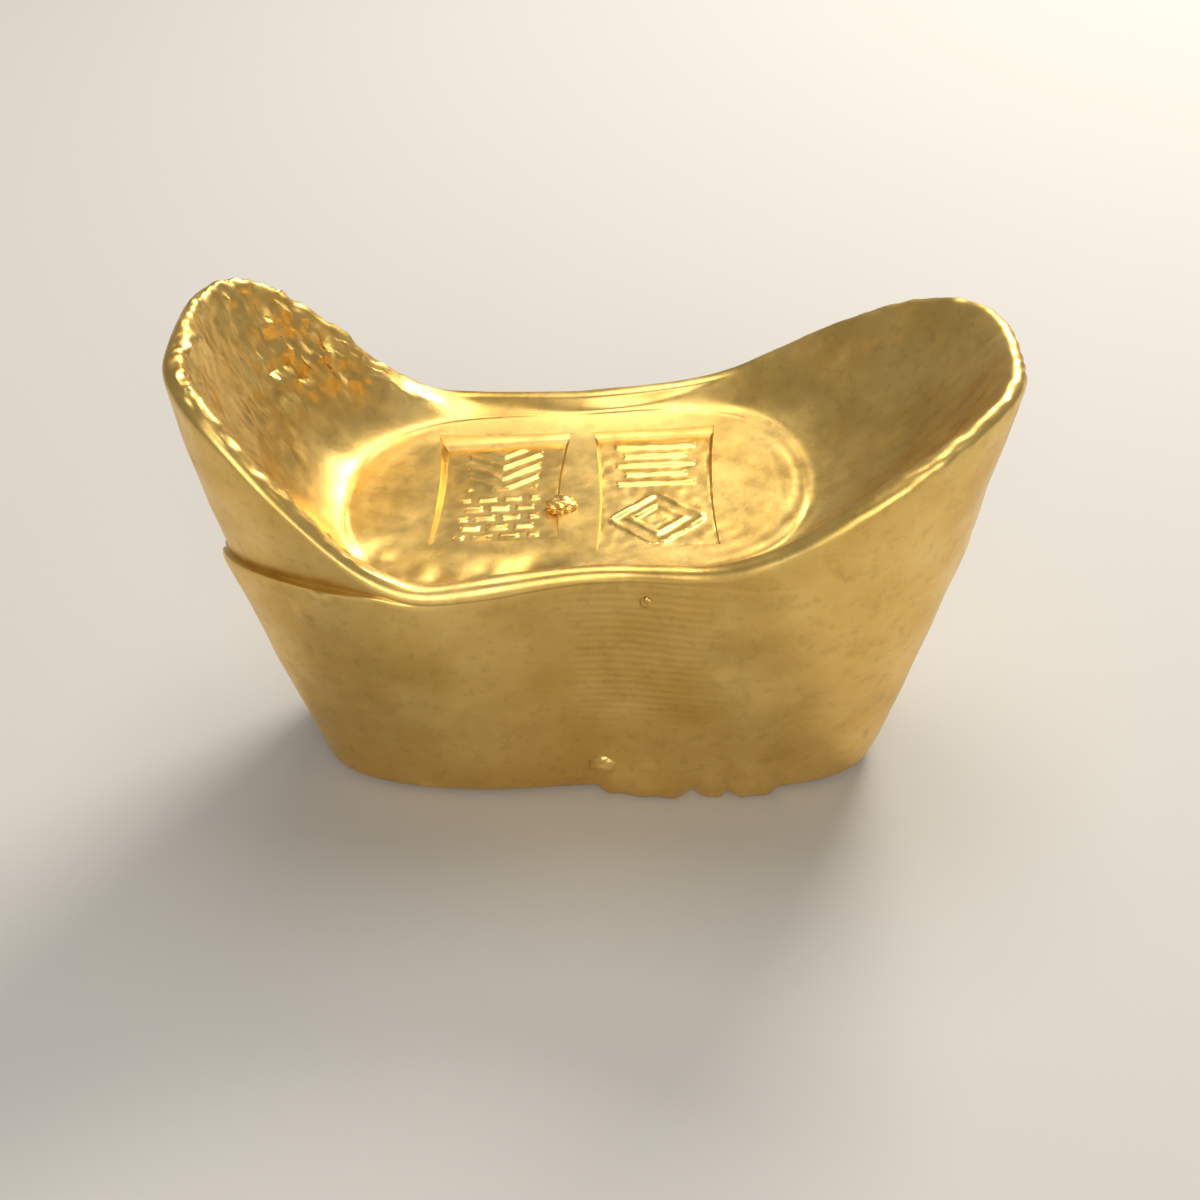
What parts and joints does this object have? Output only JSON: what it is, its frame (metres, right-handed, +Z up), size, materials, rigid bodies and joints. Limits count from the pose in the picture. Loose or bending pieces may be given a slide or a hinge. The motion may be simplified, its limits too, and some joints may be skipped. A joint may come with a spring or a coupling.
{
  "type": "ingot",
  "caption": "Boat-shaped cast gold ingot with a flat base, waisted sides and two raised ears over a dished top with punched panels.",
  "frame": {"origin": "middle of the outer box, on the flat base", "axes": "+X from the left ear to the right ear, -Y towards the front, +Z up from the base"},
  "size_m": [0.0634, 0.0288, 0.0394],
  "materials": {
    "gold": "cast gold, satin and slightly uneven, brighter on the lip"
  },
  "bodies": {
    "root": {"cast_ingot": "gold"}
  },
  "joints": []
}
